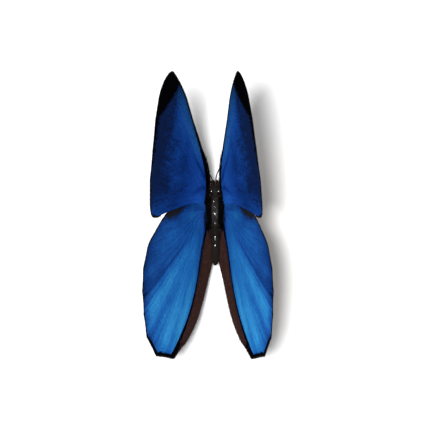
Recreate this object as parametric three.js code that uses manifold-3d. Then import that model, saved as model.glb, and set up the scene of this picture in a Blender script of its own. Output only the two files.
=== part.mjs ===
// A male blue morpho butterfly at life size, standing on level ground with its wings raised in a V.
// Millimetres, +Z up. The head points to +Y and the animal's own right side is +X.
// Each wing is drawn in its own flat plane, in two directions measured from its hinge:
// "out" runs from the hinge up the wing, and "along" runs forward, parallel to the body.
import * as THREE from 'three';
import { mergeVertices } from 'three/addons/utils/BufferGeometryUtils.js';
import Module from 'manifold-3d';

const wasm = await Module();
wasm.setup();

// ---- Driving sizes ----
const groundShift = 1.05; // moves the body forward, to bring the origin under the middle of the box
const hinge = { side: 2.6, forward: 5.9, height: 10.3 };
const wingThickness = 0.55;
const wingRings = [0.45, 0.8, 1]; // rings of the membrane grid, from its middle to its edge
const stepsPerCurve = 4; // outline points between two named points of a wing
const partingGap = 0.12; // between pieces that grow from one another

const forewing = {
  toeIn: 12.4, // degrees that the wing's front turns towards the middle line
  lean: 14, // degrees away from upright
  middle: [40, 9],
  bulge: 0.9, // how far the membrane bows towards the other wing
  // root, leading edge, rounded tip, outer edge, rear corner, rear edge
  outline: [
    [-1.2, -1.6], [-0.8, 2.2], [1.4, 5.8], [6.5, 10], [19.7, 16.9], [33, 23.5],
    [45, 29.8], [55.6, 33.8], [63.4, 35.4], [67.8, 33], [70.2, 28], [69, 20],
    [65.6, 11.2], [61.8, 1.8], [57.2, -5], [53.2, -8.5], [48.4, -9], [38.8, -7.1],
    [27.5, -4.9], [16.5, -3], [6, -2.4],
  ],
  scallops: { from: 10, to: 14, depth: 0.03 },
};

const hindwing = {
  toeIn: 5.7,
  lean: 18.2,
  middle: [24, -27],
  bulge: 0.7,
  // root, front edge under the forewing, outer edge with a point at each vein, inner edge
  outline: [
    [-1.2, -3.4], [1.2, -2.7], [12, -1.2], [24, -2], [34, -5.9], [41.1, -11.2],
    [46.6, -16.6], [48.5, -23.4], [47.5, -30.5], [44.4, -38.1], [40.2, -45.1],
    [31, -51.3], [17.2, -52.6], [8.6, -47.9], [2.4, -41.6], [-1.6, -35], [-4.4, -27.6],
    [-5.8, -20], [-5, -12.6], [-2.8, -7.4],
  ],
  scallops: { from: 6, to: 13, depth: 0.065 },
};
// The inner field of the hindwing bends inward from a line that climbs towards the rear.
const innerField = { start: -12, length: 38.2, rise: 15.4, power: 2.6, slope: 0.26, softness: 0.8 };
// the gutter that the inner fields make under the abdomen, strongest beside its middle
const gutter = { depth: 0.8, middle: -17.5, reach: 5.8, width: 5.5 };
// Near its root the hindwing is stepped outward, so that the forewing's rear edge lies over it.
const overlapStep = { depth: 1.6, root: [-2, 5], reach: 26, rear: -14, front: -5 };

const thorax = {
  height: 8.7,
  flattening: [1, 1.12], // width and height against the profile
  profile: [[0, 6.9], [1.25, 6.6], [2.1, 5.3], [2.6, 3.4], [2.72, 1.2], [2.3, -1.4], [1.6, -3.3],
    [0.8, -4], [0, -4.15]],
};
const abdomen = {
  waist: [0, -4.3, 8.9],
  droop: 4.5, // degrees below level
  profile: [[0, 0], [0.8, -0.2], [1.1, -1.6], [1.3, -4.6], [1.34, -8], [1.1, -10.6],
    [0.6, -11.8], [0, -12.1]],
};
const head = {
  centre: [0, 8.8, 8.4],
  profile: [[0, 1.85], [0.85, 1.6], [1.4, 0.7], [1.5, -0.2], [1.2, -1.2], [0.6, -1.65], [0, -1.75]],
};
const eye = { centre: [1.2, 8.35, 8.3], radii: [1.2, 1.32, 1.36] };
const palp = {
  radius: 0.36,
  route: [[0.6, 9.7, 7.6], [0.7, 10.7, 6.9], [0.76, 11.5, 7.5], [0.72, 11.75, 8.7], [0.62, 11.6, 9.8]],
};
const proboscis = {
  radius: 0.27,
  centre: { forward: 10.4, height: 5.62 },
  inner: 0.25, // the spiral's smallest reach
  pitch: 0.66,
  turns: 1.75,
};
const antenna = {
  radius: 0.26,
  clubRadius: 0.42,
  club: { start: 0.8, full: 0.93 }, // parts of the antenna's length
  base: [0.4, 9.5, 9.5],
  spread: { right: 16, left: 29 }, // degrees out from straight ahead
  // bows inwards over the face, then outwards and up to the club
  route: [[0, 0, 0], [-0.3, 0.9, 0.35], [-0.95, 3.4, 1.3], [-0.85, 5.2, 2], [-0.55, 6.9, 2.6],
    [0.1, 12.4, 4.5], [2, 19.8, 6.8], [4.4, 26.2, 8.1]],
};

// Legs, each from hip to toe; the foot lies flat on the ground.
const footRadius = 0.27; // a little under half the foot's thickness, so its sole is a small flat
const midleg = {
  route: [[1.1, 2.9, 6.7], [2, 3.3, 4.9], [4.4, 4.6, 5.7], [7.4, 6.2, 6.5], [8.9, 7.8, 3.5],
      [10.1, 9.2, 0.6], [11, 10.3, footRadius], [12.6, 12.6, footRadius]],
};
const hindleg = {
  route: [[1, -1, 6.8], [1.9, -1.8, 4.9], [4.3, -4.3, 5.6], [6.9, -7.2, 6.3], [8.2, -10.2, 3.4],
      [9.3, -12.9, 0.6], [10.1, -14.5, footRadius], [11.4, -17.2, footRadius]],
};
// The small front legs are held folded under the chest.
const foreleg = {
  route: [[0.95, 4.6, 6.6], [1.6, 5.8, 5], [1.75, 7.6, 4.8], [1.6, 8.8, 5.2], [1.4, 9.6, 5.8]],
};
const legRadii = { hip: 0.5, knee: 0.34, foot: 0.3 };
const legStages = { knee: 0.45, ankle: 0.75 }; // parts of the leg's length

// How finely each round shape is faceted: rings along it, and sides around it.
const facets = {
  thorax: [15, 22],
  abdomen: [16, 18],
  head: [14, 20],
  eye: [16, 11],
  palp: [9, 8],
  antenna: [24, 6],
  proboscis: [34, 6],
  foreleg: [11, 7],
  walkingLeg: [24, 7],
};

const materials = {
  forewing: { color: 0x12489a, roughness: 0.45, metalness: 0.35 },
  hindwing: { color: 0x1a6fc0, roughness: 0.45, metalness: 0.35 },
  body: { color: 0x2b2826, roughness: 0.85, metalness: 0 },
  eye: { color: 0x1a0f0a, roughness: 0.15, metalness: 0 },
  limb: { color: 0x2e231c, roughness: 0.6, metalness: 0 },
};

// ---- Ways of making shapes ----
const rad = THREE.MathUtils.degToRad;
const vector = ([x, y, z]) => new THREE.Vector3(x, y, z);

// A closed skin over rings of points. The first and the last ring are drawn in to a single point.
function skinOver(rings, around, pointAt) {
  const points = [pointAt(rings[0], 0)];
  for (const ring of rings.slice(1, -1)) {
    for (let step = 0; step < around; step++) points.push(pointAt(ring, step));
  }
  points.push(pointAt(rings.at(-1), 0));
  const end = points.length - 1;
  const at = (ring, step) => 1 + ring * around + (step % around);
  const faces = [];
  for (let step = 0; step < around; step++) {
    faces.push(0, at(0, step), at(0, step + 1));
    for (let ring = 0; ring < rings.length - 3; ring++) {
      faces.push(at(ring, step), at(ring + 1, step), at(ring + 1, step + 1));
      faces.push(at(ring, step), at(ring + 1, step + 1), at(ring, step + 1));
    }
    faces.push(end, at(rings.length - 3, step + 1), at(rings.length - 3, step));
  }
  return new THREE.BufferGeometry().setFromPoints(points).setIndex(faces);
}

// A round limb of changing thickness along a smooth route.
function limb(route, radiusAt, [steps, sides]) {
  const curve = new THREE.CatmullRomCurve3(route.map(vector), false, 'centripetal');
  const frames = curve.computeFrenetFrames(steps);
  const rings = Array.from({ length: steps + 1 }, (_, step) => step);
  return skinOver(rings, sides, (ring, side) => {
    const angle = (-2 * Math.PI * side) / sides;
    const radius = ring === 0 || ring === steps ? 0 : radiusAt(ring / steps);
    const point = curve.getPointAt(ring / steps);
    point.addScaledVector(frames.normals[ring], radius * Math.cos(angle));
    point.addScaledVector(frames.binormals[ring], radius * Math.sin(angle));
    return point;
  });
}

// A body part turned about its own length (+Y), from a half outline of radius against place.
function turned(profile, [steps, sides]) {
  const points = profile.map(([radius, place]) => new THREE.Vector2(radius, place));
  const spline = new THREE.SplineCurve(points);
  const outline = spline.getPoints(steps);
  outline[0].x = 0;
  outline[steps].x = 0;
  outline.reverse();
  return new THREE.LatheGeometry(outline, sides);
}

function toSolid(geometry) {
  const bare = geometry.clone();
  bare.deleteAttribute('normal');
  bare.deleteAttribute('uv');
  const merged = mergeVertices(bare, 1e-4);
  return new wasm.Manifold(new wasm.Mesh({
    numProp: 3,
    vertProperties: merged.attributes.position.array,
    triVerts: new Uint32Array(merged.index.array),
  }));
}

function toGeometry(solid) {
  const { vertProperties, triVerts } = solid.getMesh();
  const geometry = new THREE.BufferGeometry();
  geometry.setAttribute('position', new THREE.BufferAttribute(vertProperties, 3));
  geometry.setIndex(new THREE.BufferAttribute(triVerts, 1));
  return geometry;
}

// The same shape, larger by about the parting gap on every side.
function swollen(geometry) {
  const copy = geometry.clone();
  copy.computeBoundingBox();
  const centre = copy.boundingBox.getCenter(new THREE.Vector3());
  const size = copy.boundingBox.getSize(new THREE.Vector3());
  const grow = new THREE.Vector3(2, 2, 2).multiplyScalar(partingGap).divide(size).addScalar(1);
  return copy.translate(-centre.x, -centre.y, -centre.z).scale(grow.x, grow.y, grow.z)
    .translate(centre.x, centre.y, centre.z);
}

// What is left of a piece outside its swollen neighbour.
const partFrom = (geometry, neighbour) => {
  const left = toSolid(geometry).subtract(toSolid(swollen(neighbour)));
  return toGeometry(left);
};

// ---- Wings ----
// The outline as a smooth closed curve; between its scalloped points it dips towards the middle.
function wingOutline({ outline, middle, scallops }) {
  const corners = outline.map(([out, along]) => new THREE.Vector3(out, along, 0));
  const curve = new THREE.CatmullRomCurve3(corners, true, 'centripetal');
  const centre = new THREE.Vector3(...middle, 0);
  const points = [];
  for (let corner = 0; corner < corners.length; corner++) {
    const dips = corner >= scallops.from && corner < scallops.to;
    const span = corners[corner].distanceTo(corners[(corner + 1) % corners.length]);
    for (let step = 0; step < stepsPerCurve; step++) {
      const part = step / stepsPerCurve;
      const point = curve.getPoint((corner + part) / corners.length);
      const dip = dips ? scallops.depth * span * Math.sin(Math.PI * part) : 0;
      point.addScaledVector(centre.clone().sub(point).normalize(), dip);
      points.push(point);
    }
  }
  return points;
}

// How far the hindwing stands out of its plane, away from the body's middle, at one place.
function hindwingStep(out, along) {
  const climb = Math.max(0, (innerField.start - along) / innerField.length);
  const foldLine = innerField.rise * climb ** innerField.power;
  const inside = Math.max(0, foldLine - out);
  const beside = Math.exp(-(((along - gutter.middle) / gutter.reach) ** 2));
  const curl = gutter.depth * beside * THREE.MathUtils.smoothstep(inside, 0, gutter.width);
  const inward = (innerField.slope * inside * inside) / (inside + innerField.softness) + curl;
  const leavesRoot = THREE.MathUtils.smoothstep(out, ...overlapStep.root);
  const farOut = THREE.MathUtils.smoothstep(out, overlapStep.root[1], overlapStep.reach);
  const underForewing = THREE.MathUtils.smoothstep(along, overlapStep.rear, overlapStep.front);
  return overlapStep.depth * (leavesRoot - farOut) * underForewing - inward;
}

// A wing stands in the YZ plane of its own frame: "out" is +Z, "along" is +Y, and +X faces away
// from the body.
function wingGeometry(wing, stepOut) {
  const edge = wingOutline(wing);
  const faces = [1, -1];
  const rings = faces.flatMap((face) => {
    const reaches = [0, ...wingRings].map((reach) => ({ reach, face }));
    return face > 0 ? reaches : reaches.reverse();
  });
  const middle = new THREE.Vector3(...wing.middle, 0);
  const geometry = skinOver(rings, edge.length, ({ reach, face }, step) => {
    const place = middle.clone().lerp(edge[step], reach);
    const bow = -wing.bulge * (1 - reach * reach);
    const stand = face * wingThickness / 2 + bow + stepOut(place.x, place.y);
    return new THREE.Vector3(stand, place.y, place.x);
  });
  geometry.rotateY(rad(wing.lean));
  geometry.rotateZ(rad(wing.toeIn));
  return geometry.translate(hinge.side, hinge.forward, hinge.height);
}

// ---- Body ----
const thoraxGeometry = turned(thorax.profile, facets.thorax)
  .scale(thorax.flattening[0], 1, thorax.flattening[1])
  .translate(0, 0, thorax.height);
const abdomenGeometry = turned(abdomen.profile, facets.abdomen)
  .rotateX(rad(abdomen.droop))
  .translate(...abdomen.waist);
const headGeometry = turned(head.profile, facets.head).translate(...head.centre);
const eyeGeometry = new THREE.SphereGeometry(1, ...facets.eye)
  .scale(...eye.radii)
  .translate(...eye.centre);

// ---- Limbs and mouth ----
function antennaGeometry(spread) {
  const feeler = limb(antenna.route, (part) => {
    const club = THREE.MathUtils.smoothstep(part, antenna.club.start, antenna.club.full);
    return THREE.MathUtils.lerp(antenna.radius, antenna.clubRadius, club);
  }, facets.antenna);
  return partFrom(feeler.rotateZ(rad(-spread)).translate(...antenna.base), headGeometry);
}

// A leg, thickest at the hip. What would sink below the ground is pressed flat on it.
function legGeometry(route, facetCounts) {
  const leg = limb(route, (part) => {
    const thigh = Math.min(part / legStages.knee, 1);
    const toKnee = THREE.MathUtils.lerp(legRadii.hip, legRadii.knee, thigh);
    const toFoot = THREE.MathUtils.smoothstep(part, legStages.knee, legStages.ankle);
    return THREE.MathUtils.lerp(toKnee, legRadii.foot, toFoot);
  }, facetCounts);
  const points = leg.attributes.position;
  for (let i = 0; i < points.count; i++) {
    points.setZ(i, Math.max(points.getZ(i), 0));
  }
  return leg;
}

// The tongue: a flat spiral spring under the face, from its inner turn out to the mouth.
function proboscisRoute() {
  const { centre, inner, pitch, turns } = proboscis;
  const pointsPerTurn = 14;
  const points = [];
  for (let step = 0; step <= pointsPerTurn * turns; step++) {
    const turn = step / pointsPerTurn;
    const reach = inner + pitch * turn;
    const angle = 2 * Math.PI * (turn - turns) + Math.PI / 2;
    const forward = centre.forward - reach * Math.cos(angle);
    const height = centre.height + reach * Math.sin(angle);
    points.push([0, forward, height]);
  }
  return points;
}

// ---- Assembly ----
function piece(name, geometry, look) {
  const mesh = new THREE.Mesh(geometry, new THREE.MeshStandardMaterial(look));
  mesh.name = name;
  return mesh;
}

const proboscisGeometry = limb(proboscisRoute(), () => proboscis.radius, facets.proboscis);
const palpGeometry = limb(palp.route, () => palp.radius, facets.palp);
const legs = {
  foreleg: legGeometry(foreleg.route, facets.foreleg),
  midleg: legGeometry(midleg.route, facets.walkingLeg),
  hindleg: legGeometry(hindleg.route, facets.walkingLeg),
};

const butterfly = new THREE.Group();
butterfly.position.y = groundShift;
butterfly.add(
  piece('head', headGeometry, materials.body),
  piece('thorax', thoraxGeometry, materials.body),
  piece('abdomen', abdomenGeometry, materials.body),
  piece('proboscis', proboscisGeometry, materials.limb),
);

const pairs = {
  eye: [partFrom(eyeGeometry, headGeometry), materials.eye],
  palp: [partFrom(palpGeometry, headGeometry), materials.body],
  forewing: [partFrom(wingGeometry(forewing, () => 0), thoraxGeometry), materials.forewing],
  hindwing: [partFrom(wingGeometry(hindwing, hindwingStep), thoraxGeometry), materials.hindwing],
  foreleg: [partFrom(legs.foreleg, thoraxGeometry), materials.limb],
  midleg: [partFrom(legs.midleg, thoraxGeometry), materials.limb],
  hindleg: [partFrom(legs.hindleg, thoraxGeometry), materials.limb],
};
for (const [side, mirror] of [['right', 1], ['left', -1]]) {
  const half = new THREE.Group();
  half.scale.x = mirror;
  for (const [name, [geometry, look]] of Object.entries(pairs)) {
    half.add(piece(`${name}_${side}`, geometry, look));
  }
  half.add(piece(`antenna_${side}`, antennaGeometry(antenna.spread[side]), materials.limb));
  butterfly.add(half);
}

export default butterfly;
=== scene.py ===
import math

import bpy
import numpy as np
from mathutils import Matrix, Vector, geometry


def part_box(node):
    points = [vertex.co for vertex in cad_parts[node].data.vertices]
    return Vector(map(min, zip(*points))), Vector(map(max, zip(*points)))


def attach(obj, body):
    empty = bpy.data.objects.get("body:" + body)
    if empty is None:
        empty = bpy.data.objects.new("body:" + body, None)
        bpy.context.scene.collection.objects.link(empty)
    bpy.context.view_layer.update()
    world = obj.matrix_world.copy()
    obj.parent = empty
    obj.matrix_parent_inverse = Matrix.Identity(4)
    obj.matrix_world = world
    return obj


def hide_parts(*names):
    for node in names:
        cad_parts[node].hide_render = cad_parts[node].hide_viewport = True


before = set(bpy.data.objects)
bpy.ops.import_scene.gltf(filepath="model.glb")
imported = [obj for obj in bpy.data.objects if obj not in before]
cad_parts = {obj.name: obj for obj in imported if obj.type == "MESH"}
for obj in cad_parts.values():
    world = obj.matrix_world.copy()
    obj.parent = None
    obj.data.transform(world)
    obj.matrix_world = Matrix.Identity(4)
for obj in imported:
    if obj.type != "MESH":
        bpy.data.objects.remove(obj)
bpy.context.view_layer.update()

# A male blue morpho at life size, standing with its wings raised, seen from straight above.
# Shapes are worked out in millimetres and turned to metres as each mesh is made.
# The head points to +Y, the animal's own right side is +X, and the ground is at Z = 0.

mm = 0.001
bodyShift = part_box("thorax")[1].y / mm - 6.9  # the chest's front is 6.9 ahead of the middle of the body


# small helpers

def linear(hexColour):
    levels = [int(hexColour[i:i + 2], 16) / 255 for i in (1, 3, 5)]
    return [v / 12.92 if v <= 0.04045 else ((v + 0.055) / 1.055) ** 2.4 for v in levels] + [1.0]


def setInputs(tree, node, inputs):
    # each input takes a value, or a link from a socket or from a node's first output
    for name, value in inputs.items() if isinstance(inputs, dict) else enumerate(inputs):
        if isinstance(value, bpy.types.Node):
            value = value.outputs[0]
        if isinstance(value, bpy.types.NodeSocket):
            tree.links.new(value, node.inputs[name])
        else:
            node.inputs[name].default_value = value


def addNode(tree, kind, inputs=(), **settings):
    node = tree.nodes.new("ShaderNode" + kind)
    for name, value in settings.items():
        setattr(node, name, value)
    setInputs(tree, node, inputs)
    return node


def setStops(node, stops):
    ramp = node.color_ramp
    while len(ramp.elements) > 1:
        ramp.elements.remove(ramp.elements[-1])
    for i, (place, colour) in enumerate(stops):
        stop = ramp.elements[0] if i == 0 else ramp.elements.new(place)
        stop.position = place
        stop.color = linear(colour)
    return node


def newMaterial(name):
    material = bpy.data.materials.new(name)
    material.use_nodes = True
    tree = material.node_tree
    return material, tree, tree.nodes["Principled BSDF"]


def smoothStep(value, low, high):
    part = np.clip((value - low) / (high - low), 0, 1)
    return part * part * (3 - 2 * part)


def between(value, start, full, fading, gone):
    return smoothStep(value, start, full) * (1 - smoothStep(value, fading, gone))


def bell(value, middle, width):
    return np.exp(-((value - middle) / width) ** 2)


def smoothCurve(points, closed=False, spacing=0.5):
    # centripetal Catmull-Rom: returns the curve's points, and for each its span and its part of that span
    points = np.asarray(points, float)
    count = len(points)
    curve, spans, parts = [], [], []
    for i in range(count if closed else count - 1):
        near = [(i + k) % count if closed else min(max(i + k, 0), count - 1) for k in (-1, 0, 1, 2)]
        p = [points[k] for k in near]
        if not closed and i == 0:
            p[0] = 2 * p[1] - p[2]
        if not closed and i == count - 2:
            p[3] = 2 * p[2] - p[1]
        gaps = [max(np.linalg.norm(p[k + 1] - p[k]), 1e-6) ** 0.5 for k in range(3)]
        t = np.concatenate([[0], np.cumsum(gaps)])

        def blended(row, k, width, s):
            return ((t[k + width] - s) * row[k] + (s - t[k]) * row[k + 1]) / (t[k + width] - t[k])

        steps = max(2, math.ceil(np.linalg.norm(p[2] - p[1]) / spacing))
        for part in np.arange(steps) / steps:
            s = t[1] + (t[2] - t[1]) * part
            first = [blended(p, k, 1, s) for k in range(3)]
            second = [blended(first, k, 2, s) for k in range(2)]
            curve.append(((t[2] - s) * second[0] + (s - t[1]) * second[1]) / (t[2] - t[1]))
            spans.append(i)
            parts.append(part)
    if not closed:
        curve.append(points[-1])
        spans.append(count - 2)
        parts.append(1.0)
    return np.array(curve), np.array(spans), np.array(parts)


def makePiece(name, points, faces, materials, slots=None, smooth=True):
    mesh = bpy.data.meshes.new(name)
    mesh.from_pydata((np.asarray(points) * mm).tolist(), [], [list(f) for f in faces])
    for material in materials:
        mesh.materials.append(material)
    if slots is not None:
        mesh.polygons.foreach_set("material_index", np.asarray(slots, np.int32))
    mesh.polygons.foreach_set("use_smooth", np.full(len(mesh.polygons), smooth))
    mesh.update()
    piece = bpy.data.objects.new(name, mesh)
    bpy.context.scene.collection.objects.link(piece)
    return piece


def addField(mesh, name, values):
    # one number, or one direction, for each point of the mesh, that a material can read
    values = np.asarray(values, np.float32)
    wide = values.ndim == 2
    field = mesh.attributes.new(name, "FLOAT_VECTOR" if wide else "FLOAT", "POINT")
    field.data.foreach_set("vector" if wide else "value", values.ravel())


def pointValues(mesh, name):
    # a row of three for each point of the mesh: its place, "co", or its "normal"
    values = np.empty(len(mesh.vertices) * 3)
    mesh.vertices.foreach_get(name, values)
    return values.reshape(-1, 3)


def addBakeMap(mesh, pointPlaces):
    # pointPlaces is a function from the numbers of the corners' points to their places on the map
    corners = np.empty(len(mesh.loops), np.int32)
    mesh.loops.foreach_get("vertex_index", corners)
    layer = mesh.uv_layers.new(name="OFBake")
    layer.data.foreach_set("uv", np.asarray(pointPlaces(corners), np.float32).ravel())


def gapTo(places, line):
    # distance of each place from a line of points
    starts, runs = line[:-1], line[1:] - line[:-1]
    lengths = np.maximum((runs ** 2).sum(1), 1e-9)
    best = np.full(len(places), 1e9)
    for start, run, length in zip(starts, runs, lengths):
        part = np.clip(((places - start) @ run) / length, 0, 1)
        away = places - start - part[:, None] * run
        best = np.minimum(best, (away ** 2).sum(1))
    return np.sqrt(best)


# wings

# A wing is drawn in its own plane: "out" runs from the hinge up the wing, and "along" runs forward.
hinge = np.array([2.6, 5.9 + bodyShift, 10.3])

forewing = {
    "name": "forewing",
    "toeIn": 12.4, "lean": 14.0, "middle": (40, 9), "bulge": 0.9,
    "outline": [(-1.2, -1.6), (-0.8, 2.2), (1.4, 5.8), (6.5, 10), (19.7, 16.9), (33, 23.5),
                (45, 29.8), (55.6, 33.8), (63.4, 35.4), (67.8, 33), (70.2, 28), (69, 20),
                (65.6, 11.2), (61.8, 1.8), (57.2, -5), (53.2, -8.5), (48.4, -9), (38.8, -7.1),
                (27.5, -4.9), (16.5, -3), (6, -2.4)],
    "scallops": (10, 14, 0.03),    # first and last span of the outline, and their depth
    "front": (1, 9), "outer": (8, 15), "rear": (15, 20),    # stretches of the outline
    # paler and darker places: out and its width, along and its width, strength
    "clouds": [(16, 6, 5, 3, 0.1), (40, 5, 4.5, 2, 0.1), (43, 4, 12, 2.5, 0.1),
               (28, 5, 1, 3, -0.06), (50, 5, 1, 4, -0.12)],
    # two creases with painted shade along them, the upper one first
    "creases": [[(3, 4.8), (14, 8.4), (27, 12.6), (42, 17.6)], [(2, 3.4), (10, 3), (18, 0.8), (24, -1.4)]],
    "veins": {
        "subcosta": [(0, 1.6), (8, 8.6), (20, 15.2), (32, 21.4), (41, 27)],
        "radius": [(0, 1), (8, 6.6), (20, 12.6), (31.5, 17.8)],
        "radius1": [(21, 13.2), (34, 21.6), (50, 31.4)],
        "radius2": [(27.5, 16.2), (41, 24), (57, 33.9)],
        "radius3": [(31.5, 17.8), (44, 24.4), (54, 29.9), (64, 34.8)],
        "radius4": [(54, 29.9), (62, 31.6), (68, 32.4)],
        "radius5": [(47, 26), (58, 27.6), (69.8, 28.6)],
        "media1": [(32, 17.6), (48, 21.4), (69.3, 22.6)],
        "media2": [(33.2, 15.4), (50, 15.6), (67.3, 16.2)],
        "media3": [(32.6, 12), (48, 9.6), (65, 10)],
        "cubitus": [(0, 0.2), (10, 3.6), (20, 6.8), (28, 9.4), (32.6, 12)],
        "cubitus1": [(28, 9.4), (44, 4.6), (61.8, 2.4)],
        "cubitus2": [(18, 6.2), (34, 0.4), (56.8, -4.8)],
        "anal": [(0, -0.6), (16, -1), (34, -4), (53, -8)],
        "crossvein": [(31.5, 17.8), (33.4, 16.2), (33.2, 14.2), (32.6, 12)],
    },
}

hindwing = {
    "name": "hindwing",
    "toeIn": 5.7, "lean": 18.2, "middle": (24, -27), "bulge": 0.7,
    "outline": [(-1.2, -2.6), (1.2, -1.2), (12, -1.2), (24, -2), (34, -5.9), (41.1, -11.2),
                (46.6, -16.6), (48.5, -23.4), (47.5, -30.5), (44.4, -38.1), (40.2, -45.1),
                (30.8, -51.3), (16.2, -52.6), (8.9, -47.8), (2.4, -41.6), (-1.6, -35), (-4.4, -27.6),
                (-5.8, -20), (-5, -12.6), (-2.8, -7.4)],
    "scallops": (6, 13, 0.065),
    "outer": (5, 12), "rear": (12, 19),
    # brighter and darker rays: angle and width in degrees, strength, distances where one starts and is full
    "rays": [(41, 2.6, 0.03, 24, 40), (59, 3.4, 0.06, 26, 36), (71, 4.5, 0.15, 12, 28),
             (31.4, 0.7, -0.2, 5, 14), (35, 0.6, -0.17, 6, 15), (47.6, 2.8, -0.2, 24, 44),
             (64, 2.2, -0.06, 20, 36), (30, 2.5, -0.1, 34, 42), (52.5, 0.9, -0.12, 20, 34)],
    # paler and darker places: out and its width, along and its width, strength; the first is painted shade
    # near the root
    "clouds": [(0, 5, -6, 6, -0.09), (19, 4, -46, 2.4, -0.1), (42, 2.4, -39, 2.6, -0.14)],
    # rear edge of the grey-brown patch on the front margin
    "costalPatch": [(12, 0), (16, -3), (20, -5), (25, -7), (30, -8), (36, -8.3), (41, -10.8), (46, -14)],
    "veins": {
        "subcosta": [(0, -3.6), (10, -4.4), (24, -6), (40.6, -11)],
        "radius": [(0, -4.2), (8, -6.8), (24, -11.4), (46, -16.4)],
        "media1": [(8, -6.8), (24, -14.6), (47.8, -23.4)],
        "media2": [(9, -8), (24, -18.6), (46.8, -30.4)],
        "media3": [(12, -12.6), (26, -24), (43.8, -37.8)],
        "cubitus": [(0, -4.6), (5.5, -7.6), (12, -12.6)],
        "cubitus1": [(12, -12.6), (24.5, -28), (39.6, -44.6)],
        "cubitus2": [(6.5, -8.6), (17, -27), (30.6, -50.6)],
        "anal": [(-0.4, -5.2), (2.6, -17), (6.8, -32), (16.8, -52)],
        "anal3": [(-0.9, -5.8), (-2.6, -16), (-1.6, -28), (3, -39.5)],
    },
}

# the hindwing's inner field bends inward from a line that climbs towards the rear
innerField = {"start": -12, "length": 38.2, "rise": 15.4, "power": 2.6, "slope": 0.26, "softness": 0.8}
# both inner fields make a gutter under the abdomen
gutter = {"depth": 0.8, "middle": -17.5, "reach": 5.8, "width": 5.5}
# near its root the hindwing is stepped outward, under the forewing's rear edge
overlapStep = {"depth": 1.6, "root": (-2, 5), "reach": 26, "rear": -14, "front": -5}

membrane = {
    "inset": 0.34,        # the scale fringe stands out this far beyond the membrane
    "halfThickness": 0.05,
    "ridge": (0.14, 0.05),    # height of a vein at the root and at the margin
    "ridgeWidth": 0.26,
    "vault": 0.2,         # the membrane bows up between its veins
    # spacing of the points along the edge, along a vein and between the veins
    "edgeSpacing": 0.45, "veinSpacing": 0.7, "fill": 1.0,
    "edgeRows": (0.16, 0.5),    # rows of points this far inside the edge
    "veinRows": (0, 0.2, -0.2, 0.46, -0.46),    # and this far to the sides of a vein
    "closest": (0.15, 0.42),    # the least gap from a row's point and from one between the rows
}


def foldLine(along):
    climb = np.maximum(0, (innerField["start"] - along) / innerField["length"])
    return innerField["rise"] * climb ** innerField["power"]


def divideLine(along):
    # where the brown inner field ends: inside the fold near the root, then a little beyond it
    nearRoot = 1 - smoothStep(-along, 5, 18)
    beyond = 0.8 * smoothStep(-along, 12, 22) - 0.9 * smoothStep(-along, 26, 46)
    return foldLine(along) - 2.3 * nearRoot + beyond


def hindwingStep(out, along):
    # how far the hindwing's inner field and root stand off its plane
    inside = np.maximum(0, foldLine(along) - out)
    inward = innerField["slope"] * inside ** 2 / (inside + innerField["softness"])
    beside = bell(along, gutter["middle"], gutter["reach"])
    inward += gutter["depth"] * beside * smoothStep(inside, 0, gutter["width"])
    start, full = overlapStep["root"]
    nearRoot = smoothStep(out, start, full) - smoothStep(out, full, overlapStep["reach"])
    underForewing = smoothStep(along, overlapStep["rear"], overlapStep["front"])
    return overlapStep["depth"] * nearRoot * underForewing - inward


def wingToSpace(wing, out, along, stand):
    # from the wing's own plane, with "stand" away from the body, to the butterfly's frame
    lean, toeIn = math.radians(wing["lean"]), math.radians(wing["toeIn"])
    turn = np.array(Matrix.Rotation(toeIn, 3, "Z") @ Matrix.Rotation(lean, 3, "Y"))
    return hinge + np.stack([stand, along, out], -1) @ turn.T


def wingOutline(wing, inset=0.0, spacing=membrane["edgeSpacing"]):
    # the scalloped outline, the span that each of its points is on, and its normals
    curve, spans, parts = smoothCurve(wing["outline"], True, spacing)
    corners = np.array(wing["outline"], float)
    first, last, depth = wing["scallops"]
    lengths = np.linalg.norm(np.roll(corners, -1, 0) - corners, axis=1)
    dip = np.where((spans >= first) & (spans < last), depth * lengths[spans] * np.sin(np.pi * parts), 0)
    inward = np.array(wing["middle"]) - curve
    curve += dip[:, None] * inward / np.linalg.norm(inward, axis=1)[:, None]
    along = np.roll(curve, -1, 0) - np.roll(curve, 1, 0)
    normals = np.stack([along[:, 1], -along[:, 0]], 1) / np.linalg.norm(along, axis=1)[:, None]
    if ((curve - wing["middle"]) * normals).sum() > 0:
        normals = -normals  # now they point inwards
    return curve + inset * normals, spans, normals


def insideOf(places, outline):
    x, y = places[:, 0], places[:, 1]
    inside = np.zeros(len(places), bool)
    for (ax, ay), (bx, by) in zip(outline, np.roll(outline, -1, 0)):
        crosses = (ay > y) != (by > y)
        inside ^= crosses & (x < (bx - ax) * (y - ay) / (by - ay + 1e-12) + ax)
    return inside


def thinned(rows, inner):
    # the points of all rows that lie inside the edge and not too near an earlier one
    cellSize = 0.5
    kept, taken = [], {}
    for row, nearest in rows:
        for place in row[insideOf(row, inner)]:
            i, j = int(place[0] // cellSize), int(place[1] // cellSize)
            near = [q for a in (-1, 0, 1) for b in (-1, 0, 1) for q in taken.get((i + a, j + b), ())]
            if all((place[0] - q[0]) ** 2 + (place[1] - q[1]) ** 2 > nearest ** 2 for q in near):
                taken.setdefault((i, j), []).append(place)
                kept.append(place)
    return kept


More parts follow.
